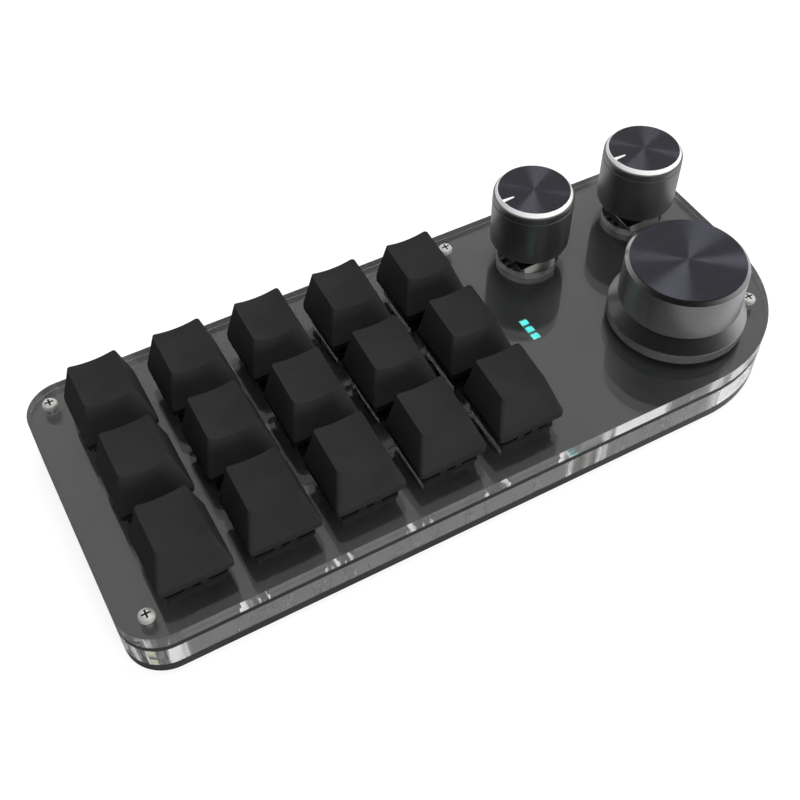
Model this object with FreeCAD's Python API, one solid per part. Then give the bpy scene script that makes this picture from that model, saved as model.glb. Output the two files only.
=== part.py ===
import FreeCAD, Part
import math
import os

os.makedirs("parts", exist_ok=True)

V = FreeCAD.Vector

# Case outline seen from above, in mm. The front right corner sweeps round the large knob.
case_length = 193.6
case_depth = 81.0
corner_radius = 10.0
sweep_radius = 35.0

# Layers from the desk up
foot_height = 2.0
bottom_thickness = 2.8
frame_thickness = 6.5
board_thickness = 1.5
top_thickness = 4.0
frame_wall = 6.0
bottom_z = foot_height
frame_z = bottom_z + bottom_thickness
board_z = frame_z + frame_thickness
top_z = board_z + board_thickness
deck_z = top_z + top_thickness

# Key grid: five columns along X and three rows along Y
column_pitch = 21.7
row_pitch = 22.8
grid_centre_x = -34.2
grid_centre_y = -2.1
row_names = ["front", "middle", "back"]
columns = 5

# Keycap
cap_width = 18.1
cap_lift = 4.6
cap_skirt = 1.8
cap_corner = 0.9
cap_wall = 1.1
cap_top_half = 6.17
cap_top_back = V(0, 8.45, 11.35)
cap_top_front = V(0, -4.45, 10.15)
cap_top_corner = 1.0
cap_dish_depth = 0.95
cap_ceiling = 8.0
cap_post_radius = 2.75
cap_post_start = 1.95
cross_length = 4.0
cross_width = 1.2
cross_clearance = 0.05

# Key switch, heights above the top plate
switch_hole = 14.1
switch_body = 13.9
switch_cavity = 12.3
switch_floor = 1.0
flange_width = 15.2
flange_height = 1.0
housing_base_half = 7.1
housing_top_half = V(5.5, 4.4, 0)
housing_top = 6.6
housing_wall = 1.0
slider_size = V(7.0, 5.6, 0)
slider_gap = 0.3
slider_bottom = 1.8
slider_top = 6.5
shoulder_size = V(9.0, 7.2, 0)
shoulder_bottom = 4.2
shoulder_top = 5.5
stem_top = 10.1
spring_radius = 1.65
spring_wire = 0.22
spring_turns = 4
spring_bore_depth = 3.4
peg_radius = 1.95
pin_radius = 0.5
pin_length = 3.3
pin_places = [V(-3.81, 2.54, 0), V(2.54, 5.08, 0)]

# Rotary encoders and their knobs, with heights above the top plate
small_knobs = {"left": V(44.6, 22.6, 0), "right": V(80.3, 22.4, 0)}
large_knob = V(65.6, -16.9, 0)
knob_hole_radius = 8.6
encoder_size = V(12.4, 11.8, 0)
encoder_roof = V(13.0, 13.4, 0)
encoder_top = 1.7
bracket_thickness = 0.4
encoder_pin_x = 7.1
encoder_pin_z = top_z + 2.2
bushing_radius = 3.5
bushing_top = 6.6
shaft_radius = 3.0
shaft_flat = 1.5
shaft_clearance = 0.05
shaft_top = 18.0
shaft_flat_start = 8.8
shaft_foot_z = top_z + 1.5
rotor_radius = 4.6
rotor_bottom_z = top_z + 2.0
rotor_height = 3.2
push_travel = 0.5

# Small knob
small_body_radius = 10.9
small_bottom = 5.2
small_lip_radius = 10.84
small_lip_start = 19.8
small_lip_top = 21.6
small_disc_radius = 9.68
small_disc_top = 22.7
small_ring_radius = 10.35
small_seat_radius = 10.0
small_seat_depth = 0.45
small_hub_radius = 5.0
small_inner_radius = 9.3
pointer_width = 1.05
pointer_tip_radius = 0.25
pointer_inner = 6.3
pointer_depth = 0.62

# Large knob
flange_radius = 18.28
large_bottom = 0.9
flange_top = 3.95
waist_radius = 15.4
waist_height = 7.6
large_body_radius = 16.02
large_top_radius = 15.85
large_bevel_start = 19.5
large_disc_radius = 14.88
large_disc_top = 20.6
large_disc_thickness = 1.0

# Fasteners: M2 pan head screws and hexagonal spacers
screw_inset = 6.7
head_radius = 1.95
head_height = 1.5
screw_radius = 0.95
screw_hole_radius = 1.15
screw_reach = 8.5
bottom_screw_reach = 5.8
spacer_flats = 3.2
spacer_bore = 1.0
boss_radius = 6.0
left_x = -case_length / 2 + screw_inset
right_x = case_length / 2 - screw_inset
edge_y = case_depth / 2 - screw_inset
top_screws = [V(left_x, -edge_y, 0), V(left_x, edge_y, 0), V(24.7, edge_y + 0.4, 0),
              V(right_x, edge_y, 0), V(86.3, -22.1, 0)]
spacer_only = V(24.7, -edge_y, 0)

# Feet, lights and socket
foot_radius = 5.0
foot_places = [V(-78, -28, 0), V(-78, 28, 0), V(76, 27, 0), V(72, -21, 0)]
light_x = 30.3
light_y = -1.15
light_pitch = 2.75
light_size = V(2.1, 1.85, 0.5)
socket_x = 0.0
socket_width = 8.94
socket_height = 3.26
socket_depth = 7.35
socket_wall = 0.3
chip_place = V(20.0, 4.0, 0)
chip_size = V(7.0, 7.0, 0.9)


def save(shape, name):
    shape.exportStep("parts/" + name + ".step")


# Closed loop of straight sides whose right-angled corners are rounded
def rounded_wire(corners, radii):
    count = len(corners)
    starts = []
    mids = []
    ends = []
    for i in range(count):
        corner = corners[i]
        back = (corners[i - 1] - corner).normalize()
        ahead = (corners[(i + 1) % count] - corner).normalize()
        radius = radii[i]
        inward = back + ahead
        starts.append(corner + back * radius)
        ends.append(corner + ahead * radius)
        mids.append(corner + inward * (radius * (1 - 1 / math.sqrt(2))))
    edges = []
    for i in range(count):
        edges.append(Part.Arc(starts[i], mids[i], ends[i]).toShape())
        edges.append(Part.makeLine(ends[i], starts[(i + 1) % count]))
    return Part.Wire(edges)


def rectangle_wire(half_x, half_y, z, radius):
    corners = [V(half_x, -half_y, z), V(half_x, half_y, z),
               V(-half_x, half_y, z), V(-half_x, -half_y, z)]
    return rounded_wire(corners, [radius] * 4)


def case_wire(inset, z):
    half_x = case_length / 2 - inset
    half_y = case_depth / 2 - inset
    small = corner_radius - inset
    corners = [V(half_x, -half_y, z), V(half_x, half_y, z),
               V(-half_x, half_y, z), V(-half_x, -half_y, z)]
    return rounded_wire(corners, [sweep_radius - inset, small, small, small])


def slab(wire, height):
    return Part.Face(wire).extrude(V(0, 0, height))


# Box centred on a point in X and Y, standing on z
def block(place, size_x, size_y, z, height):
    return Part.makeBox(size_x, size_y, height, V(place.x - size_x / 2, place.y - size_y / 2, z))


def rod(place, radius, z, height):
    return Part.makeCylinder(radius, height, V(place.x, place.y, z))


# Solid of revolution about the Z axis from points (radius, height)
def turned(points):
    loop = [V(r, 0, z) for r, z in points]
    face = Part.Face(Part.makePolygon(loop + [loop[0]]))
    return face.revolve(V(0, 0, 0), V(0, 0, 1), 360)


def moved(shape, offset):
    copy = shape.copy()
    copy.translate(offset)
    return copy


def group(shape, places):
    return Part.makeCompound([moved(shape, place) for place in places])


def key_places():
    places = {}
    for row, row_name in enumerate(row_names):
        for column in range(columns):
            x = grid_centre_x + (column - (columns - 1) / 2) * column_pitch
            y = grid_centre_y + (row - 1) * row_pitch
            places[row_name + "_" + str(column + 1)] = V(x, y, 0)
    return places


def encoder_places():
    return [small_knobs["left"], small_knobs["right"], large_knob]


def light_places():
    return [V(light_x, light_y + i * light_pitch, 0) for i in (-1, 0, 1)]


# Clear plate on top, with a square hole for each switch and a round one for each encoder
def make_top_plate():
    plate = slab(case_wire(0, top_z), top_thickness)
    cuts = [block(p, switch_hole, switch_hole, top_z - 1, top_thickness + 2) for p in key_places().values()]
    cuts += [rod(p, knob_hole_radius, top_z - 1, top_thickness + 2) for p in encoder_places()]
    cuts += [rod(p, screw_hole_radius, top_z - 1, top_thickness + 2) for p in top_screws]
    pocket = light_size + V(0.2, 0.2, 0.2)
    cuts += [block(p, pocket.x, pocket.y, top_z, pocket.z) for p in light_places()]
    return plate.cut(Part.makeCompound(cuts))


def make_circuit_board():
    board = slab(case_wire(0, board_z), board_thickness)
    drill_z = board_z - 1
    drill_depth = board_thickness + 2
    cuts = [rod(p, screw_hole_radius, drill_z, drill_depth) for p in top_screws]
    for place in key_places().values():
        cuts.append(rod(place, peg_radius + 0.1, drill_z, drill_depth))
        cuts += [rod(place + pin, pin_radius + 0.15, drill_z, drill_depth) for pin in pin_places]
    for place in encoder_places():
        cuts += [block(place + side, 3.0, 1.0, drill_z, drill_depth) for side in lug_sides()]
        cuts += [rod(place + pin, pin_radius + 0.15, drill_z, drill_depth) for pin in encoder_pins()]
    return board.cut(Part.makeCompound(cuts))


def all_spacer_places():
    return top_screws + [spacer_only]


# Ring between board and bottom, left full round each spacer and slotted for the socket
def make_middle_frame():
    ring = slab(case_wire(0, frame_z), frame_thickness)
    hollow = slab(case_wire(frame_wall, frame_z), frame_thickness)
    bosses = [rod(p, boss_radius, frame_z, frame_thickness) for p in all_spacer_places()]
    hollow = hollow.cut(Part.makeCompound(bosses))
    ring = ring.cut(hollow)
    holes = [rod(p, spacer_flats / 2 + 0.45, frame_z, frame_thickness) for p in all_spacer_places()]
    slot_height = socket_height + 0.3
    slot = block(V(socket_x, case_depth / 2 - frame_wall / 2, 0), socket_width + 0.6, frame_wall + 2,
                 board_z - slot_height, slot_height)
    return ring.cut(Part.makeCompound(holes)).cut(slot)


def make_bottom_plate():
    plate = slab(case_wire(0, bottom_z), bottom_thickness)
    cuts = [rod(p, screw_hole_radius, bottom_z - 1, bottom_thickness + 2) for p in all_spacer_places()]
    return plate.cut(Part.makeCompound(cuts))


# Pan head with a cross recess, head up, seated on z = 0 with its thread below
def make_screw(reach):
    profile = [(0, -reach), (screw_radius, -reach), (screw_radius, 0), (head_radius, 0),
               (head_radius, 0.7), (head_radius * 0.86, 1.15), (head_radius * 0.5, head_height),
               (0, head_height)]
    screw = turned(profile)
    arm = head_radius * 1.15
    recess_z = head_height - 0.6
    cross = block(V(0, 0, 0), arm, 0.45, recess_z, 1.0).fuse(block(V(0, 0, 0), 0.45, arm, recess_z, 1.0))
    return screw.cut(cross)


def make_case_screws():
    upper = make_screw(screw_reach)
    lower = make_screw(bottom_screw_reach)
    lower.rotate(V(0, 0, 0), V(1, 0, 0), 180)
    solids = [moved(upper, p + V(0, 0, deck_z)) for p in top_screws]
    solids += [moved(lower, p + V(0, 0, bottom_z)) for p in all_spacer_places()]
    return Part.makeCompound(solids)


def make_standoffs():
    corner = spacer_flats / math.sqrt(3)
    angles = [math.radians(60 * i + 30) for i in range(6)]
    points = [V(corner * math.cos(a), corner * math.sin(a), frame_z) for a in angles]
    hexagon = Part.Face(Part.makePolygon(points + [points[0]])).extrude(V(0, 0, frame_thickness))
    spacer = hexagon.cut(rod(V(0, 0, 0), spacer_bore, frame_z - 1, frame_thickness + 2))
    return group(spacer, all_spacer_places())


def make_rubber_feet():
    profile = [(0, 0), (foot_radius - 0.9, 0), (foot_radius - 0.2, 0.6), (foot_radius, foot_height),
               (0, foot_height)]
    return group(turned(profile), foot_places)


# Tilted rounded rectangle through the four upper corners of the keycap
def cap_top_wire():
    side = V(cap_top_half, 0, 0)
    corners = [cap_top_front + side, cap_top_back + side, cap_top_back - side, cap_top_front - side]
    return rounded_wire(corners, [cap_top_corner] * 4)


# Cylinder that hollows the top of the cap from front to back
def cap_dish():
    along = (cap_top_back - cap_top_front).normalize()
    up = V(1, 0, 0).cross(along)
    radius = (cap_top_half ** 2 + cap_dish_depth ** 2) / (2 * cap_dish_depth)
    start = cap_top_front - along * 12 + up * (radius - cap_dish_depth)
    return Part.makeCylinder(radius, 36, start, along)


# Keycap standing on z = 0, hollow from below, with a cross socket in its post
def make_keycap():
    half = cap_width / 2
    skirt = slab(rectangle_wire(half, half, 0, cap_corner), cap_skirt)
    slope = Part.makeLoft([rectangle_wire(half, half, cap_skirt, cap_corner), cap_top_wire()], True, True)
    inner_half = half - cap_wall
    inner_skirt = slab(rectangle_wire(inner_half, inner_half, 0, 0.6), cap_skirt)
    ceiling = [V(4.9, -3.4, cap_ceiling), V(4.9, 7.0, cap_ceiling),
               V(-4.9, 7.0, cap_ceiling), V(-4.9, -3.4, cap_ceiling)]
    inner_slope = Part.makeLoft([rectangle_wire(inner_half, inner_half, cap_skirt, 0.6),
                                 rounded_wire(ceiling, [0.6] * 4)], True, True)
    cap = skirt.fuse(slope).cut(inner_skirt.fuse(inner_slope)).cut(cap_dish())
    post = rod(V(0, 0, 0), cap_post_radius, cap_post_start, cap_ceiling + 0.4 - cap_post_start)
    cap = cap.fuse(post).removeSplitter()
    length = cross_length + 2 * cross_clearance
    width = cross_width + 2 * cross_clearance
    depth = stem_top - cap_lift - cap_post_start
    socket = block(V(0, 0, 0), length, width, cap_post_start, depth)
    socket = socket.fuse(block(V(0, 0, 0), width, length, cap_post_start, depth))
    return cap.cut(socket)


# Slider with its stop shoulder, a bore for the spring and the cross that takes the cap
def make_switch_stem():
    origin = V(0, 0, 0)
    body = block(origin, slider_size.x, slider_size.y, deck_z + slider_bottom, slider_top - slider_bottom)
    shoulder = block(origin, shoulder_size.x, shoulder_size.y, deck_z + shoulder_bottom,
                     shoulder_top - shoulder_bottom)
    cross_height = stem_top - slider_top
    cross = block(origin, cross_length, cross_width, deck_z + slider_top, cross_height)
    cross = cross.fuse(block(origin, cross_width, cross_length, deck_z + slider_top, cross_height))
    stem = body.fuse(shoulder).fuse(cross).removeSplitter()
    return stem.cut(rod(origin, spring_radius + spring_wire + 0.3, deck_z + slider_bottom, spring_bore_depth))


def make_bottom_housing():
    origin = V(0, 0, 0)
    body = block(origin, switch_body, switch_body, top_z, top_thickness)
    flange = slab(rectangle_wire(flange_width / 2, flange_width / 2, deck_z, 0.6), flange_height)
    hollow = block(origin, switch_cavity, switch_cavity, top_z + switch_floor, top_thickness + 2)
    housing = body.fuse(flange).removeSplitter().cut(hollow)
    guide = rod(origin, 1.1, top_z + switch_floor, 2.6)
    peg = rod(origin, peg_radius, top_z - pin_length + 0.4, pin_length - 0.4)
    return housing.fuse(guide).fuse(peg)


# Tapered cover that snaps onto the flange with two clips at the front and two at the back
def make_top_housing():
    base_z = deck_z + flange_height
    roof_z = deck_z + housing_top
    base = rectangle_wire(housing_base_half, housing_base_half, base_z, 0.8)
    roof = rectangle_wire(housing_top_half.x, housing_top_half.y, roof_z, 0.8)
    shell = Part.makeLoft([base, roof], True, True)
    inner_base = rectangle_wire(housing_base_half - housing_wall, housing_base_half - housing_wall,
                                base_z - 0.01, 0.4)
    inner_roof = rectangle_wire(housing_top_half.x - 0.72, housing_top_half.y - 0.52,
                                roof_z - housing_wall, 0.4)
    shell = shell.cut(Part.makeLoft([inner_base, inner_roof], True, True))
    opening = block(V(0, 0, 0), slider_size.x + 2 * slider_gap, slider_size.y + 2 * slider_gap,
                    roof_z - 2, 3)
    shell = shell.cut(opening)
    clip_depth = flange_width / 2 - housing_base_half
    for x in (-2.0, 2.0):
        for side in (-1, 1):
            y = side * (housing_base_half + clip_depth / 2 - 0.2)
            shell = shell.fuse(block(V(x, y, 0), 1.9, clip_depth + 0.4, base_z, 1.3))
    return shell.removeSplitter()


# Coil between the floor of the housing and the bore of the slider, one arc for each half turn
def make_spring():
    low_z = top_z + switch_floor + spring_wire + 0.02
    high_z = deck_z + slider_bottom + spring_bore_depth - spring_wire - 0.02
    rise = (high_z - low_z) / spring_turns

    def on_coil(turn):
        angle = 2 * math.pi * turn
        return V(spring_radius * math.cos(angle), spring_radius * math.sin(angle), low_z + rise * turn)

    halves = [i / 2 for i in range(2 * spring_turns)]
    coil = Part.Wire([Part.Arc(on_coil(t), on_coil(t + 0.25), on_coil(t + 0.5)).toShape() for t in halves])
    start = on_coil(0)
    sides = [(-1, -1), (1, -1), (1, 1), (-1, 1), (-1, -1)]
    section = Part.makePolygon([start + V(x * spring_wire, 0, z * spring_wire) for x, z in sides])
    return coil.makePipeShell([section], True, False)


# Three terminals on the side towards the keys and two on the other side
def encoder_pins():
    left = [V(-encoder_pin_x, y, 0) for y in (-2.5, 0, 2.5)]
    right = [V(encoder_pin_x, y, 0) for y in (-2.5, 2.5)]
    return left + right


def lug_sides():
    lug_y = encoder_size.y / 2 + bracket_thickness / 2
    return [V(0, -lug_y, 0), V(0, lug_y, 0)]


# Terminals of the switches and the encoders, which go through the board
def make_solder_pins():
    switch_pin = rod(V(0, 0, 0), pin_radius, top_z - pin_length, pin_length)
    places = [place + pin for place in key_places().values() for pin in pin_places]
    solids = [moved(switch_pin, place) for place in places]
    low_z = top_z - pin_length
    foot = rod(V(0, 0, 0), pin_radius, low_z, encoder_pin_z + 0.4 - low_z)
    arm_length = encoder_pin_x - encoder_size.x / 2
    for place in encoder_places():
        for pin in encoder_pins():
            inward = math.copysign(arm_length / 2, -pin.x)
            arm = block(V(inward, 0, 0), arm_length, 1.0, encoder_pin_z, 0.4)
            solids.append(moved(foot.fuse(arm), place + pin))
    return Part.makeCompound(solids)


# Moulded base of an encoder, with a round pocket for the rotor and a well for the end of the shaft
def make_encoder_housing():
    origin = V(0, 0, 0)
    height = top_thickness + encoder_top - bracket_thickness
    base = block(origin, encoder_size.x, encoder_size.y, top_z, height)
    pocket_z = rotor_bottom_z - 0.05
    base = base.cut(rod(origin, rotor_radius + 0.4, pocket_z, height))
    return base.cut(rod(origin, shaft_radius + 0.3, shaft_foot_z - push_travel - 0.3, height))


# Bent steel bracket over the base: roof with the threaded bushing, two flaps and two solder lugs
def make_encoder_bracket():
    origin = V(0, 0, 0)
    roof_z = deck_z + encoder_top - bracket_thickness
    roof = block(origin, encoder_roof.x, encoder_roof.y, roof_z, bracket_thickness)
    bracket = roof.fuse(rod(origin, bushing_radius, roof_z, bushing_top - encoder_top + bracket_thickness))
    for side in lug_sides():
        flap = block(side, encoder_size.x - 2.4, bracket_thickness, top_z + 1.4, roof_z - top_z - 1.4)
        lug = block(side, 2.4, bracket_thickness, board_z - 0.6, roof_z - board_z)
        bracket = bracket.fuse(flap).fuse(lug)
    bracket = bracket.removeSplitter()
    bore = rod(origin, shaft_radius + shaft_clearance, roof_z - 1, bushing_top + 2)
    return bracket.cut(bore)


# Part of a disc or bore beyond the flat of a D-shaped shaft
def flat_cut(z, height, offset):
    return Part.makeBox(8, 16, height, V(offset, -8, z))


def make_encoder_rotor():
    origin = V(0, 0, 0)
    rotor = rod(origin, rotor_radius, rotor_bottom_z, rotor_height)
    notches = []
    for i in range(12):
        angle = math.radians(30 * i)
        notches.append(rod(V(rotor_radius * math.cos(angle), rotor_radius * math.sin(angle), 0), 0.5,
                           rotor_bottom_z, rotor_height))
    bore = rod(origin, shaft_radius + shaft_clearance, rotor_bottom_z - 1, rotor_height + 2)
    bore = bore.cut(flat_cut(rotor_bottom_z - 1, rotor_height + 2, shaft_flat + shaft_clearance))
    return rotor.cut(Part.makeCompound(notches)).cut(bore)


# Steel shaft with a flat at the rotor and another one for the knob
def make_encoder_shaft():
    shaft = rod(V(0, 0, 0), shaft_radius, shaft_foot_z, deck_z + shaft_top - shaft_foot_z)
    rotor_top_z = rotor_bottom_z + rotor_height
    shaft = shaft.cut(flat_cut(shaft_foot_z, rotor_top_z + push_travel + 0.1 - shaft_foot_z, shaft_flat))
    flat_z = deck_z + shaft_flat_start
    return shaft.cut(flat_cut(flat_z, deck_z + shaft_top - flat_z, shaft_flat))


# D-shaped bore for the shaft, which ends where the shaft does
def knob_bore():
    bore = rod(V(0, 0, 0), shaft_radius + 0.01, deck_z, shaft_top)
    flat_z = deck_z + shaft_flat_start
    return bore.cut(flat_cut(flat_z, shaft_top, shaft_flat + 0.01))


def lifted(points):
    return [(r, z + deck_z) for r, z in points]


# Black shell of a small knob: straight wall, a fine groove under the lip, hollow round its hub
def make_small_shell():
    seat = small_lip_top - small_seat_depth
    groove = small_body_radius - 0.16
    profile = [(0, seat), (small_seat_radius + 0.02, seat), (small_seat_radius + 0.02, small_lip_top),
               (small_ring_radius + 0.05, small_lip_top), (small_lip_radius - 0.16, small_lip_top - 0.15),
               (small_lip_radius, small_lip_top - 0.6), (small_lip_radius, small_lip_start + 0.15),
               (groove, small_lip_start), (groove, small_lip_start - 0.25),
               (small_body_radius, small_lip_start - 0.4), (small_body_radius, small_bottom + 2.4),
               (small_body_radius - 0.12, small_bottom + 1.0),
               (small_body_radius - 0.45, small_bottom + 0.25),
               (small_body_radius - 0.8, small_bottom), (small_inner_radius, small_bottom),
               (small_inner_radius, small_lip_start - 0.8), (small_hub_radius, small_lip_start - 0.8),
               (small_hub_radius, shaft_flat_start), (0, shaft_flat_start)]
    return turned(lifted(profile)).cut(knob_bore())


# Pointer that narrows from the ring to a rounded tip
def pointer_bar(extra, z, height):
    root = pointer_width / 2 + extra
    tip = pointer_tip_radius + extra
    inner = pointer_inner + pointer_tip_radius
    outer = small_disc_radius + 0.1
    corners = [V(-outer, -root, z), V(-inner, -tip, z), V(-inner, tip, z), V(-outer, root, z)]
    bar = Part.Face(Part.makePolygon(corners + [corners[0]])).extrude(V(0, 0, height))
    return bar.fuse(rod(V(-inner, 0, 0), tip, z, height))


# White moulded ring whose pointer lies in a slot of the disc
def make_small_ring():
    seat = small_lip_top - small_seat_depth
    inside = small_disc_radius + 0.02
    top = small_disc_top + 0.02
    profile = [(inside, seat), (small_seat_radius, seat), (small_seat_radius, small_lip_top),
               (small_ring_radius, small_lip_top), (small_ring_radius, small_lip_top + 0.15),
               (inside + 0.1, top), (inside, top)]
    bar = pointer_bar(0, deck_z + top - pointer_depth, pointer_depth)
    return turned(lifted(profile)).fuse(bar).removeSplitter()


def make_small_disc():
    seat = small_lip_top - small_seat_depth
    disc = rod(V(0, 0, 0), small_disc_radius, deck_z + seat, small_disc_top - seat)
    return disc.cut(pointer_bar(0.02, deck_z + small_disc_top - pointer_depth, pointer_depth + 1))


# Aluminium body of the large knob: bevelled drum, waist and a cone that runs out to the flange
def make_large_body():
    seat = large_disc_top - large_disc_thickness
    recess = large_disc_radius + 0.01
    rim = large_disc_top - 0.2
    profile = [(waist_radius, waist_height), (waist_radius, waist_height + 0.4),
               (large_body_radius - 0.15, waist_height + 0.4), (large_body_radius, waist_height + 0.6),
               (large_top_radius, large_bevel_start), (recess + 0.05, rim), (recess, rim),
               (recess, seat), (0, seat), (0, shaft_flat_start), (8.6, shaft_flat_start), (12.6, 4.6),
               (12.6, large_bottom), (flange_radius - 0.2, large_bottom),
               (flange_radius, large_bottom + 0.25),
               (flange_radius, flange_top - 0.25), (flange_radius - 0.1, flange_top)]
    return turned(lifted(profile)).cut(knob_bore())


def make_large_disc():
    seat = large_disc_top - large_disc_thickness
    profile = [(0, seat), (large_disc_radius, seat), (large_disc_radius, large_disc_top - 0.12),
               (large_disc_radius - 0.12, large_disc_top), (0, large_disc_top)]
    return turned(lifted(profile))


def make_status_leds():
    light = slab(rectangle_wire(light_size.x / 2, light_size.y / 2, top_z, 0.35), light_size.z)
    return group(light, light_places())


# Sheet metal shell under the board, open at the back of the case, with a tongue inside
def make_usb_socket():
    back_y = case_depth / 2 - 0.3
    middle_z = board_z - socket_height / 2
    half = V(socket_width / 2, 0, socket_height / 2)
    corners = [V(-half.x, back_y, middle_z - half.z), V(half.x, back_y, middle_z - half.z),
               V(half.x, back_y, middle_z + half.z), V(-half.x, back_y, middle_z + half.z)]
    thinner = 1 - socket_wall / half.z
    inner = [V(c.x * (1 - socket_wall / half.x), c.y, middle_z + (c.z - middle_z) * thinner) for c in corners]
    outside = Part.Face(rounded_wire(corners, [1.5] * 4)).extrude(V(0, -socket_depth, 0))
    hollow = Part.Face(rounded_wire(inner, [1.2] * 4)).extrude(V(0, -(socket_depth - 1.0), 0))
    tongue = Part.makeBox(6.7, 5.0, 0.7, V(-3.35, back_y - socket_depth + 0.8, middle_z - 0.35))
    return moved(outside.cut(hollow).fuse(tongue), V(socket_x, 0, 0))


def make_controller_chip():
    return block(chip_place, chip_size.x, chip_size.y, board_z - chip_size.z, chip_size.z)


keys = key_places()
keycap = moved(make_keycap(), V(0, 0, deck_z + cap_lift))
switch_stem = make_switch_stem()
for key_name, key_place in keys.items():
    save(moved(keycap, key_place), "keycap_" + key_name)
    save(moved(switch_stem, key_place), "switch_stem_" + key_name)

save(group(make_bottom_housing(), keys.values()), "switch_bottom_housings")
save(group(make_top_housing(), keys.values()), "switch_top_housings")
save(group(make_spring(), keys.values()), "switch_springs")
save(make_solder_pins(), "solder_pins")

save(make_top_plate(), "top_plate")
save(make_circuit_board(), "circuit_board")
save(make_middle_frame(), "middle_frame")
save(make_bottom_plate(), "bottom_plate")
save(make_case_screws(), "case_screws")
save(make_standoffs(), "standoffs")
save(make_rubber_feet(), "rubber_feet")
save(make_status_leds(), "status_leds")
save(make_usb_socket(), "usb_socket")
save(make_controller_chip(), "controller_chip")

save(group(make_encoder_housing(), encoder_places()), "encoder_housings")
save(group(make_encoder_bracket(), encoder_places()), "encoder_brackets")
rotor = make_encoder_rotor()
shaft = make_encoder_shaft()
knob_places = dict(small_knobs)
knob_places["large"] = large_knob
for knob_name, knob_place in knob_places.items():
    save(moved(rotor, knob_place), "encoder_rotor_" + knob_name)
    save(moved(shaft, knob_place), "encoder_shaft_" + knob_name)

small_shell = make_small_shell()
small_ring = make_small_ring()
small_disc = make_small_disc()
for knob_name, knob_place in small_knobs.items():
    save(moved(small_shell, knob_place), "knob_" + knob_name + "_shell")
    save(moved(small_ring, knob_place), "knob_" + knob_name + "_ring")
    save(moved(small_disc, knob_place), "knob_" + knob_name + "_disc")
save(moved(make_large_body(), large_knob), "knob_large_body")
save(moved(make_large_disc(), large_knob), "knob_large_disc")
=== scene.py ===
import math
import bmesh
import bpy
from mathutils import Matrix, Vector


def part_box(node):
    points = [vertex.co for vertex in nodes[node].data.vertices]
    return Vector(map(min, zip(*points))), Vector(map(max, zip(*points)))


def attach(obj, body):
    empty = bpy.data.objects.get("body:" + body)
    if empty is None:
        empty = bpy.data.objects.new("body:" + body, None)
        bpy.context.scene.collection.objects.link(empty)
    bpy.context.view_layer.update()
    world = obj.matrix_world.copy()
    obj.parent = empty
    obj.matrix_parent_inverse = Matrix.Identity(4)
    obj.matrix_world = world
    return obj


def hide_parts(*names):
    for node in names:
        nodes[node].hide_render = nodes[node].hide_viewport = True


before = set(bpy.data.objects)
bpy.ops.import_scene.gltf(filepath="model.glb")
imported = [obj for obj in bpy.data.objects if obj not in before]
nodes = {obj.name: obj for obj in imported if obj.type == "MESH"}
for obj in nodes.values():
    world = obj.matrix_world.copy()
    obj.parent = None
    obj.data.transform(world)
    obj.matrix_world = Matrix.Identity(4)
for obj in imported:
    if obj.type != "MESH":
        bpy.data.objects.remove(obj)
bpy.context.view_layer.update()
mm = 0.001
print("frame loaded:", len(nodes), "nodes")


# Colours are written as sRGB hex and turned to linear here

def linear(hexColour):
    out = []
    for i in (1, 3, 5):
        c = int(hexColour[i:i + 2], 16) / 255
        out.append(c / 12.92 if c <= 0.04045 else ((c + 0.055) / 1.055) ** 2.4)
    return (out[0], out[1], out[2], 1.0)


# One function adds any node, with its settings and the links into it

def addNode(tree, kind, settings=None, links=None):
    node = tree.nodes.new(kind)
    for name, value in (settings or {}).items():
        if isinstance(name, int) or name in node.inputs:
            node.inputs[name].default_value = value
        else:
            setattr(node, name, value)
    for socket, source in (links or {}).items():
        tree.links.new(source, node.inputs[socket])
    return node


def newMaterial(name, shaderSettings):
    material = bpy.data.materials.new(name)
    material.use_nodes = True
    tree = material.node_tree
    shader = tree.nodes["Principled BSDF"]
    for socket, value in shaderSettings.items():
        shader.inputs[socket].default_value = value
    return material, tree, shader


# Noise in real millimetres: size is the width of one blotch or grain

def grain(tree, sizeMm, detail=3.0, stretch=(1, 1, 1)):
    place = addNode(tree, "ShaderNodeTexCoord")
    scaled = addNode(tree, "ShaderNodeMapping", {"Scale": tuple(s / (sizeMm * mm) for s in stretch)},
                     {"Vector": place.outputs["Object"]})
    return addNode(tree, "ShaderNodeTexNoise", {"Scale": 1.0, "Detail": detail},
                   {"Vector": scaled.outputs["Vector"]})


def tint(tree, shader, source, dark, light, low=0.35, high=0.65, socket="Base Color"):
    ramp = addNode(tree, "ShaderNodeValToRGB", links={"Fac": source})
    ramp.color_ramp.elements[0].position = low
    ramp.color_ramp.elements[1].position = high
    ramp.color_ramp.elements[0].color = linear(dark)
    ramp.color_ramp.elements[1].color = linear(light)
    tree.links.new(ramp.outputs["Color"], shader.inputs[socket])
    return ramp


def vary(tree, shader, source, low, high, socket="Roughness"):
    spread = addNode(tree, "ShaderNodeMapRange", {"To Min": low, "To Max": high}, {"Value": source})
    tree.links.new(spread.outputs["Result"], shader.inputs[socket])


def relief(tree, shader, source, heightMm, strength=1.0):
    bump = addNode(tree, "ShaderNodeBump", {"Strength": strength, "Distance": heightMm * mm},
                   {"Height": source})
    tree.links.new(bump.outputs["Normal"], shader.inputs["Normal"])


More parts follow.
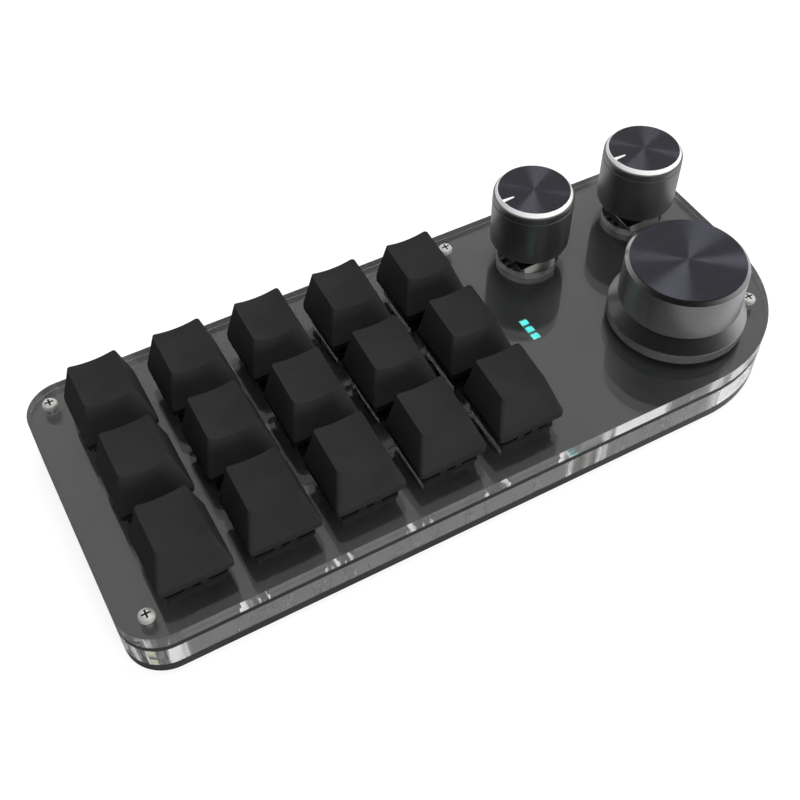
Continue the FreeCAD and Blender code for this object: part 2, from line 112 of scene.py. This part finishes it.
# PBT, injection moulded in a spark-eroded mould: an even matte black with a very fine grain
def mouldedPbt():
    material, tree, shader = newMaterial("pbtMoulded", {"IOR": 1.49, "Specular IOR Level": 0.06})
    fine = grain(tree, 0.25, 2.0)   # the real grain is 0.05 mm, drawn coarser so that it shows
    wide = grain(tree, 9.0, 1.0)
    tint(tree, shader, wide.outputs["Fac"], "#2b2b2b", "#2f2f30")
    vary(tree, shader, fine.outputs["Fac"], 0.60, 0.74)
    relief(tree, shader, fine.outputs["Fac"], 0.012, 0.5)
    return material


# Nylon with glass fibre, moulded: satin black with a slight sheen
def mouldedNylon():
    material, tree, shader = newMaterial("nylonMoulded", {"IOR": 1.53})
    fine = grain(tree, 0.4, 3.0)
    tint(tree, shader, fine.outputs["Fac"], "#18181a", "#1f1f21")
    vary(tree, shader, fine.outputs["Fac"], 0.30, 0.42)
    return material


# Acetal, moulded: waxy brown
def mouldedAcetal():
    material, tree, shader = newMaterial("acetalMoulded", {"IOR": 1.48})
    wide = grain(tree, 3.0, 2.0)
    tint(tree, shader, wide.outputs["Fac"], "#5b3520", "#694028")
    vary(tree, shader, wide.outputs["Fac"], 0.35, 0.45)
    return material


# Acrylic sheet, cast: water clear and polished, with a slight satin on the face that is touched
def castAcrylic(name, roughness):
    material, tree, shader = newMaterial(name, {"IOR": 1.49, "Transmission Weight": 1.0})
    wide = grain(tree, 14.0, 1.0)
    tint(tree, shader, wide.outputs["Fac"], "#fdfdfd", "#ffffff")
    vary(tree, shader, wide.outputs["Fac"], roughness, roughness + 0.03)
    return material


# The same acrylic where the laser has cut it: clear, with a slight milky haze
def laserCutEdge(name, haze, roughness):
    material, tree, shader = newMaterial(name, {"IOR": 1.49, "Transmission Weight": 1 - haze})
    wide = grain(tree, 5.0, 2.0, (1, 1, 0.1))   # the beam leaves upright marks
    tint(tree, shader, wide.outputs["Fac"], "#f2f2f2", "#ffffff")
    vary(tree, shader, wide.outputs["Fac"], roughness, roughness + 0.03)
    return material


# Acrylic sheet, dyed in the mass: nearly opaque, polished
def dyedAcrylic():
    material, tree, shader = newMaterial("acrylicDyedDark", {"IOR": 1.49, "Specular IOR Level": 0.25})
    wide = grain(tree, 11.0, 1.0)
    tint(tree, shader, wide.outputs["Fac"], "#343435", "#3a3a3b")
    vary(tree, shader, wide.outputs["Fac"], 0.06, 0.12)
    return material


# Glass-epoxy laminate, masked black or routed bare: the cloth shows as a faint square weave
def maskedLaminate(name, dark, light):
    material, tree, shader = newMaterial(name, {"IOR": 1.5, "Specular IOR Level": 0.2})
    place = addNode(tree, "ShaderNodeTexCoord")
    weave = addNode(tree, "ShaderNodeTexChecker", {"Scale": 1 / (0.8 * mm)},
                    {"Vector": place.outputs["Object"]})
    wide = grain(tree, 22.0, 2.0)
    tint(tree, shader, wide.outputs["Fac"], dark, light)
    vary(tree, shader, weave.outputs["Fac"], 0.40, 0.44)   # glass cloth, one thread every 0.8 mm
    return material


# Steel, plated or drawn: bright and slightly warm with fine turning marks, duller with less metallic
def platedSteel(name, colour, roughness, metallic=1.0):
    material, tree, shader = newMaterial(name, {"Metallic": metallic})
    fine = grain(tree, 0.3, 2.0, (1, 1, 6))
    tint(tree, shader, fine.outputs["Fac"], colour[0], colour[1])
    vary(tree, shader, fine.outputs["Fac"], roughness, roughness + 0.12)
    return material


# Aluminium, bead blasted and anodised grey: an even sparkle without direction
def blastedAluminium(name, metallic):
    material, tree, shader = newMaterial(name, {"Metallic": metallic})
    beads = grain(tree, 0.35, 2.0)   # beads leave 0.1 mm pits, drawn coarser so that they show
    tint(tree, shader, beads.outputs["Fac"], "#a8a8aa", "#b8b8ba")
    vary(tree, shader, beads.outputs["Fac"], 0.30, 0.37)
    relief(tree, shader, beads.outputs["Fac"], 0.03, 0.5)
    return material


# Aluminium, cut with a diamond after blasting: the bright chamfer round the disc
def cutAluminium():
    material, tree, shader = newMaterial("aluminiumDiamondCut", {"Metallic": 1.0})
    lines = grain(tree, 0.3, 2.0, (1, 1, 4))
    tint(tree, shader, lines.outputs["Fac"], "#a4a4a6", "#b2b2b4")
    vary(tree, shader, lines.outputs["Fac"], 0.17, 0.22)
    return material


# Aluminium, turned and anodised black: the dyed film is black and shines more than plastic
def blackAnodised():
    material, tree, shader = newMaterial("aluminiumAnodisedBlack", {"IOR": 2.5})
    lines = grain(tree, 0.25, 2.0, (0.2, 0.2, 4))
    tint(tree, shader, lines.outputs["Fac"], "#1f1f20", "#252526")
    vary(tree, shader, lines.outputs["Fac"], 0.34, 0.42)
    return material


# Aluminium, spun cut and anodised dark: concentric grooves draw the light out into rays
def spunAluminium():
    material, tree, shader = newMaterial("aluminiumSpunDark",
                                         {"Metallic": 1.0, "Anisotropic": 1.0, "Anisotropic Rotation": 0.25})
    grooves = grain(tree, 0.6, 2.0)
    tint(tree, shader, grooves.outputs["Fac"], "#3a3a40", "#424249")
    vary(tree, shader, grooves.outputs["Fac"], 0.24, 0.28)
    around = addNode(tree, "ShaderNodeTangent", {"direction_type": "RADIAL", "axis": "Z"})
    tree.links.new(around.outputs["Tangent"], shader.inputs["Tangent"])
    return material


# ABS, moulded white and glossy
def whiteAbs():
    material, tree, shader = newMaterial("absMouldedWhite", {"IOR": 1.52})
    wide = grain(tree, 4.0, 1.0)
    tint(tree, shader, wide.outputs["Fac"], "#fafaf9", "#fdfdfc")
    vary(tree, shader, wide.outputs["Fac"], 0.25, 0.32)
    return material


# Nitrile rubber, moulded: dull and soft
def mouldedRubber():
    material, tree, shader = newMaterial("rubberMoulded", {"IOR": 1.5})
    fine = grain(tree, 0.5, 3.0)
    tint(tree, shader, fine.outputs["Fac"], "#1b1b1b", "#242424")
    vary(tree, shader, fine.outputs["Fac"], 0.75, 0.9)
    relief(tree, shader, fine.outputs["Fac"], 0.03, 0.4)
    return material


# Epoxy, moulded over the chip: dull black
def mouldedEpoxy():
    material, tree, shader = newMaterial("epoxyMoulded", {"IOR": 1.55})
    fine = grain(tree, 0.2, 3.0)
    tint(tree, shader, fine.outputs["Fac"], "#1a1a1b", "#222223")
    vary(tree, shader, fine.outputs["Fac"], 0.55, 0.7)
    return material


# Clear epoxy lens over a lit teal chip: its light varies in soft blotches across it
def litLens():
    material, tree, shader = newMaterial("lensLitTeal",
                                         {"IOR": 1.5, "Roughness": 0.3, "Emission Strength": 0.9})
    fine = grain(tree, 1.2, 1.0)
    tint(tree, shader, fine.outputs["Fac"], "#19c9c0", "#5ff0ea")
    tint(tree, shader, fine.outputs["Fac"], "#18c4bb", "#6df5ef", socket="Emission Color")
    return material


print("materials")
finishes = {
    "keycap": mouldedPbt(), "housing": mouldedNylon(), "stem": mouldedAcetal(),
    "sheet": castAcrylic("acrylicCast", 0.0), "satinFace": castAcrylic("acrylicCastSatin", 0.04),
    "topEdge": laserCutEdge("acrylicLaserCut", 0.14, 0.0),
    "frameEdge": laserCutEdge("acrylicLaserCutFrame", 0.05, 0.0),
    "frameSide": laserCutEdge("acrylicLaserCutSide", 0.12, 0.26),
    "bottomSheet": dyedAcrylic(),
    "board": maskedLaminate("laminateSolderMask", "#404141", "#454646"),
    "boardEdge": maskedLaminate("laminateRoutedEdge", "#303131", "#343535"),
    "screw": platedSteel("steelNickelTurned", ("#d8d5d0", "#e8e6e2"), 0.38, 0.6),
    # painted shade: the screw's cross recess is coloured near black for the shade that falls in it
    "recessShade": platedSteel("steelNickelRecessShade", ("#2a2826", "#35322f"), 0.5),
    "bracket": platedSteel("steelNickelPressed", ("#b9b7b2", "#d2d0cc"), 0.25),
    # painted shade: the encoder roof's top faces are coloured near black for the shade under the knob
    "roof": platedSteel("steelRoofPaintedShade", ("#0d0d0d", "#141414"), 0.5, 0.3),
    "wire": platedSteel("steelDrawnWire", ("#a5a5a5", "#bdbdbd"), 0.3),
    "spacer": platedSteel("brassNickelTurned", ("#d9d5b8", "#ebe8cf"), 0.3),
    "knobGrey": blastedAluminium("aluminiumBeadBlasted", 1.0),
    "knobRim": blastedAluminium("aluminiumSatinRim", 0.92),
    "knobCut": cutAluminium(), "knobBlack": blackAnodised(), "spun": spunAluminium(),
    "ring": whiteAbs(), "rubber": mouldedRubber(), "chip": mouldedEpoxy(), "lens": litLens(),
}


def finishOf(name):
    starts = {
        "keycap_": "keycap", "switch_stem": "stem", "switch_top": "housing", "switch_bottom": "housing",
        "switch_springs": "wire", "solder_pins": "wire", "top_plate": "sheet",
        "middle_frame": "sheet", "bottom_plate": "bottomSheet", "circuit_board": "board",
        "case_screws": "screw", "standoffs": "spacer", "rubber_feet": "rubber", "status_leds": "lens",
        "usb_socket": "bracket", "controller_chip": "chip", "encoder_housings": "housing",
        "encoder_brackets": "bracket", "encoder_rotor": "stem", "encoder_shaft": "bracket",
        "knob_large_body": "knobGrey", "knob_large_disc": "spun", "knob_left_disc": "spun",
        "knob_right_disc": "spun", "knob_left_ring": "ring", "knob_right_ring": "ring",
        "knob_left_shell": "knobBlack", "knob_right_shell": "knobBlack",
    }
    return next(finish for start, finish in starts.items() if name.startswith(start))


def dress(piece, material):
    piece.data.materials.clear()
    piece.data.materials.append(material)


for name, node in nodes.items():
    dress(node, finishes[finishOf(name)])


# The clear layers are the CAD sheets with a hair of air between them, so that light is caught
# inside them as in real stacked sheets. Their walls are laser cut and their faces polished.
# A switch snaps in against the front and back walls of its hole, so these look black.
sheetSettings = {"airGap": 0.03 * mm, "sharpAngle": 35, "holeHalf": 7.1 * mm, "knobHole": 12 * mm,
                 "sameHeight": 0.001 * mm, "steep": 0.5, "square": 0.999}
sheetSlots = {"face": 0, "edge": 1, "switch": 2, "satin": 3, "side": 4}
keyPlaces = [sum(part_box(name), Vector()) / 2 for name in nodes if name.startswith("switch_stem_")]
knobPlaces = [sum(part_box(name), Vector()) / 2 for name in nodes if name.startswith("encoder_shaft_")]


def wallSlot(face, nodeName):
    centre = face.calc_center_median()
    reach = sheetSettings["holeHalf"]
    near = [place for place in keyPlaces
            if abs(centre.x - place.x) < reach and abs(centre.y - place.y) < reach]
    if nodeName == "top_plate" and near:
        return "switch" if abs(face.normal.y) > sheetSettings["steep"] else "face"
    if nodeName == "top_plate":
        reach = sheetSettings["knobHole"]
        return "side" if any((centre.xy - place.xy).length < reach for place in knobPlaces) else "edge"
    return "side" if abs(face.normal.y) > sheetSettings["square"] else "edge"


def clearSheet(nodeName, pieceName, edgeMaterial):
    mesh = nodes[nodeName].data.copy()
    mesh.name = pieceName
    piece = bpy.data.objects.new(pieceName, mesh)
    bpy.context.scene.collection.objects.link(piece)
    mesh.materials.clear()
    for material in (finishes["sheet"], edgeMaterial, finishes["housing"], finishes["satinFace"],
                     finishes["frameSide"]):
        mesh.materials.append(material)
    low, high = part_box(nodeName)
    work = bmesh.new()
    work.from_mesh(mesh)
    sameHeight = sheetSettings["sameHeight"]
    bmesh.ops.remove_doubles(work, verts=work.verts, dist=sameHeight)
    for vert in work.verts:
        if abs(vert.co.z - low.z) < sameHeight:
            vert.co.z += sheetSettings["airGap"]
        elif abs(vert.co.z - high.z) < sameHeight and nodeName != "top_plate":
            vert.co.z -= sheetSettings["airGap"]
    work.normal_update()
    for face in work.faces:
        face.smooth = True
        outside = face.normal.z > sheetSettings["steep"] and nodeName == "top_plate"
        finish = "satin" if outside else "face"
        if abs(face.normal.z) < sheetSettings["steep"]:
            finish = wallSlot(face, nodeName)
        face.material_index = sheetSlots[finish]
    for edge in work.edges:
        if len(edge.link_faces) == 2:
            edge.smooth = edge.calc_face_angle() < math.radians(sheetSettings["sharpAngle"])
    work.to_mesh(mesh)
    work.free()
    if mesh.attributes.get("custom_normal"):
        mesh.attributes.remove(mesh.attributes["custom_normal"])
    flat = piece.modifiers.new("flatWalls", "WEIGHTED_NORMAL")   # keeps long walls optically flat
    flat.mode = "FACE_AREA"
    flat.weight = 100
    flat.keep_sharp = True
    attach(piece, "root")
    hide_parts(nodeName)
    return piece


print("clear sheets")
clearSheet("top_plate", "clearTopSheet", finishes["topEdge"])
clearSheet("middle_frame", "clearFrame", finishes["frameEdge"])


# Some faces of a piece are finished differently from the rest. Each rule says which, in metres.
# The cross recess lies high in a screw's head, with walls and floor square to it, and is coloured dark as
# painted shade in the recess.
recessSettings = {"headHeight": 1.5 * mm, "floor": 0.85 * mm, "mouth": 1.45 * mm,
                  "wallTilt": 0.2, "floorTilt": 0.99}
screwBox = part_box("case_screws")


def inRecess(centre, normal):
    low, high = screwBox
    height = recessSettings["headHeight"] - min(high.z - centre.z, centre.z - low.z)
    tilt = abs(normal.z)
    square = tilt < recessSettings["wallTilt"] or tilt > recessSettings["floorTilt"]
    return recessSettings["floor"] < height < recessSettings["mouth"] and square


# The chamfer round the large disc is cut bright after blasting, and the rim at the bottom is satin
bodySettings = {"chamferFrom": 34 * mm, "chamferTilt": (0.35, 0.95), "rimTo": 25 * mm, "rimTilt": 0.3}


def onChamfer(centre, normal):
    low, high = bodySettings["chamferTilt"]
    return centre.z > bodySettings["chamferFrom"] and low < normal.z < high


def onRim(centre, normal):
    return centre.z < bodySettings["rimTo"] and abs(normal.z) < bodySettings["rimTilt"]


# The roof of an encoder is coloured near black as painted shade from the knob above, and its cut edges are
# bare
roofSettings = {"levelFrom": 0.9}


def onRoof(centre, normal):
    return normal.z > roofSettings["levelFrom"]


# The board's mask covers its faces, and its routed edge is darker
boardSettings = {"steepTo": 0.5}


def onBoardEdge(centre, normal):
    return abs(normal.z) < boardSettings["steepTo"]


def refinish(nodeName, finish, rule):
    node = nodes[nodeName]
    node.data.materials.append(finishes[finish])
    slot = len(node.data.materials) - 1
    for polygon in node.data.polygons:
        if rule(node.matrix_world @ polygon.center, polygon.normal):
            polygon.material_index = slot


refinish("case_screws", "recessShade", inRecess)
refinish("knob_large_body", "knobCut", onChamfer)
refinish("knob_large_body", "knobRim", onRim)
refinish("encoder_brackets", "roof", onRoof)
refinish("circuit_board", "boardEdge", onBoardEdge)


print("floor, light and camera")
# glow, towards, near and far shape a painted glow seen only in gloss, darker in front of the part as painted
# shadow
floorSettings = {"size": 6.0, "colour": "#909090", "lift": 0.86, "glow": 0.60,
                 "towards": (0.6, 0.8, 0), "near": -40 * mm, "far": 60 * mm}


# 1 for rays that the camera sees directly or through clear material, 0 for light that falls on things
def seenShare(tree):
    path = addNode(tree, "ShaderNodeLightPath")
    return addNode(tree, "ShaderNodeMath", {"operation": "MAXIMUM"},
                   {0: path.outputs["Is Camera Ray"], 1: path.outputs["Is Transmission Ray"]}).outputs["Value"]


def makeFloor():
    bpy.ops.mesh.primitive_plane_add(size=floorSettings["size"], location=(0, 0, 0))
    floor = bpy.context.object
    floor.name = "floor"
    material, tree, shader = newMaterial("floorPaper", {"Roughness": 0.95, "Specular IOR Level": 0.0})
    shader.inputs["Base Color"].default_value = linear(floorSettings["colour"])
    # The paper is seen white. In gloss and metal a painted glow is added that falls off to grey in front of
    # the part: a painted shadow of the part, seen only in reflections of the floor.
    path = addNode(tree, "ShaderNodeLightPath")
    place = addNode(tree, "ShaderNodeTexCoord")
    along = addNode(tree, "ShaderNodeVectorMath", {"operation": "DOT_PRODUCT", 1: floorSettings["towards"]},
                    {0: place.outputs["Object"]})
    glow = addNode(tree, "ShaderNodeMapRange",
                   {"interpolation_type": "SMOOTHSTEP", "From Min": floorSettings["near"],
                    "From Max": floorSettings["far"], "To Min": 0.0, "To Max": floorSettings["glow"]},
                   {"Value": along.outputs["Value"]})
    shone = addNode(tree, "ShaderNodeMix", {"data_type": "FLOAT", 2: 0.0},
                    {0: path.outputs["Is Glossy Ray"], 3: glow.outputs["Result"]})
    strength = addNode(tree, "ShaderNodeMix", {"data_type": "FLOAT", 3: floorSettings["lift"]},
                       {0: seenShare(tree), 2: shone.outputs[0]})
    shader.inputs["Emission Color"].default_value = (1, 1, 1, 1)
    tree.links.new(strength.outputs[0], shader.inputs["Emission Strength"])
    dress(floor, material)


makeFloor()

# A white background. In gloss and metal the room is bright behind and above the part on the right,
# and falls off to dark behind the camera, which shows as dark bands.
roomSettings = {"light": 0.45, "brightTowards": (0.55, 0.45, 0.70), "edge": (0.05, 0.62),
                "level": (0.0, 0.76)}


def makeRoom():
    world = bpy.data.worlds.new("studio")
    bpy.context.scene.world = world
    world.use_nodes = True
    tree = world.node_tree
    background = tree.nodes["Background"]
    background.inputs["Color"].default_value = (1, 1, 1, 1)
    path = addNode(tree, "ShaderNodeLightPath")
    place = addNode(tree, "ShaderNodeTexCoord")
    towards = Vector(roomSettings["brightTowards"]).normalized()
    facing = addNode(tree, "ShaderNodeVectorMath", {"operation": "DOT_PRODUCT", 1: towards},
                     {0: place.outputs["Generated"]})
    low, high = roomSettings["edge"]
    dark, bright = roomSettings["level"]
    wall = addNode(tree, "ShaderNodeMapRange",
                   {"interpolation_type": "SMOOTHSTEP", "From Min": low, "From Max": high,
                    "To Min": dark, "To Max": bright},
                   {"Value": facing.outputs["Value"]})
    shone = addNode(tree, "ShaderNodeMix", {"data_type": "FLOAT", 2: roomSettings["light"]},
                    {0: path.outputs["Is Glossy Ray"], 3: wall.outputs["Result"]})
    strength = addNode(tree, "ShaderNodeMix", {"data_type": "FLOAT", 3: 1.0},
                       {0: seenShare(tree), 2: shone.outputs[0]})
    tree.links.new(strength.outputs[0], background.inputs["Strength"])


makeRoom()

# Each softbox: direction from the object, direction of its width, distance, width and height in metres,
# power in watts. The top and front boxes light the object, the other two only shine on the spun discs.
softboxes = {
    "top": {"towards": (0.22, 0.12, 0.97), "across": (1, 0, 0), "distance": 1.2, "size": (0.6, 0.6),
            "power": 7.2, "shines": False},
    "front": {"towards": (0.20, -0.95, 0.25), "across": (1, 0, 0), "distance": 1.2, "size": (0.5, 0.5),
              "power": 8.4, "shines": False},
    "rays": {"towards": (0.10, 0.157, 0.982), "across": (-0.53, 0.85, 0), "distance": 1.0,
             "size": (0.4, 0.4), "power": 4.8, "shines": True},
    "narrowRays": {"towards": (0.8065, 0.2957, 0.5136), "across": (0.53, 0.85, 0), "distance": 1.1,
                   "size": (0.14, 0.14), "power": 0.75, "shines": True},
}
discs = bpy.data.collections.new("spunDiscs")
for name in nodes:
    if name.endswith("_disc"):
        discs.objects.link(nodes[name])
for name, box in softboxes.items():
    lamp = bpy.data.lights.new(name, "AREA")
    lamp.shape = "RECTANGLE"
    lamp.size, lamp.size_y = box["size"]
    lamp.energy = box["power"]
    holder = bpy.data.objects.new(name, lamp)
    away = Vector(box["towards"]).normalized()
    across = Vector(box["across"])
    across = (across - away * across.dot(away)).normalized()
    aim = Matrix((across, away.cross(across), away)).transposed()
    holder.matrix_world = Matrix.Translation(away * box["distance"]) @ aim.to_4x4()
    holder.visible_glossy = box["shines"]
    holder.visible_diffuse = not box["shines"]
    holder.visible_transmission = False
    if box["shines"]:
        holder.light_linking.receiver_collection = discs
    bpy.context.scene.collection.objects.link(holder)

# Light that is caught in the clear sheets needs many bounces to come out again
bounceSettings = {"max_bounces": 40, "glossy_bounces": 32, "transmission_bounces": 24}
for name, count in bounceSettings.items():
    setattr(bpy.context.scene.cycles, name, count)

cameraSettings = {
    "place": Vector((-98.89, -167.56, 241.07)) * mm,
    "right": Vector((0.8769, -0.4806, -0.0059)),
    "up": Vector((0.3763, 0.6787, 0.6307)),
    "back": Vector((-0.2991, -0.5553, 0.7760)),
    "lens": 51.73,
}
cameraData = bpy.data.cameras.new("camera")
cameraData.lens = cameraSettings["lens"]
cameraData.sensor_width = 36.0
cameraData.clip_start = 0.01
camera = bpy.data.objects.new("camera", cameraData)
turn = Matrix((cameraSettings["right"], cameraSettings["up"], cameraSettings["back"])).transposed()
camera.matrix_world = Matrix.Translation(cameraSettings["place"]) @ turn.to_4x4()
bpy.context.scene.collection.objects.link(camera)
bpy.context.scene.camera = camera

bpy.context.scene.view_settings.view_transform = "Standard"

print("done")
